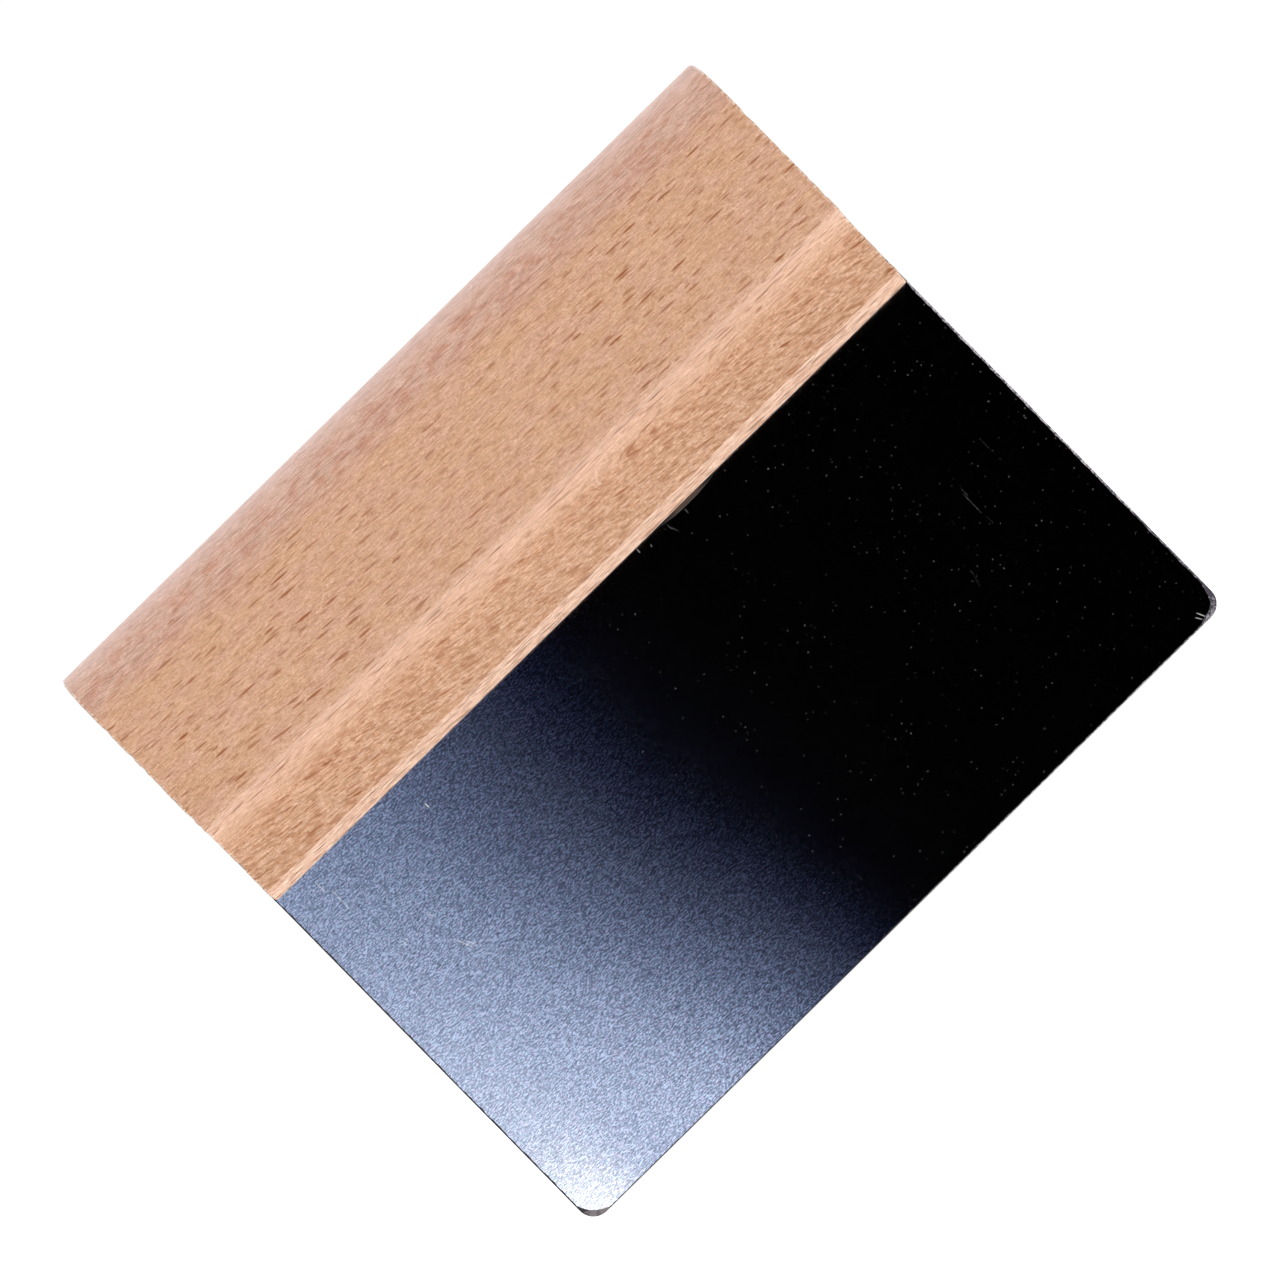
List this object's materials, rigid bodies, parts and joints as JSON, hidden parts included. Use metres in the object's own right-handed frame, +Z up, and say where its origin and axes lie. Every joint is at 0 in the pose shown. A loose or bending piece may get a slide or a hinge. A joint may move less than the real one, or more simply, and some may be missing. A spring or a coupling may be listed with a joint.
{
  "type": "bench scraper",
  "caption": "Rectangular sheet steel scraper blade bonded into a moulded beech handle of the same width, for cutting and lifting dough.",
  "frame": {"origin": "middle of the cutting edge, on its flat lower face", "axes": "+X along the cutting edge, +Z up through the blade to the back of the handle, -Y out of the front face"},
  "size_m": [0.152, 0.021, 0.1304],
  "materials": {
    "beech": "planed and sanded, unvarnished",
    "blade_steel": "fine short grain along the cutting edge, ground free corners",
    "cured_adhesive": "hard, dark, slightly glossy"
  },
  "bodies": {
    "root": {"handle": "beech", "blade": "blade_steel", "adhesive": "cured_adhesive"}
  },
  "joints": []
}
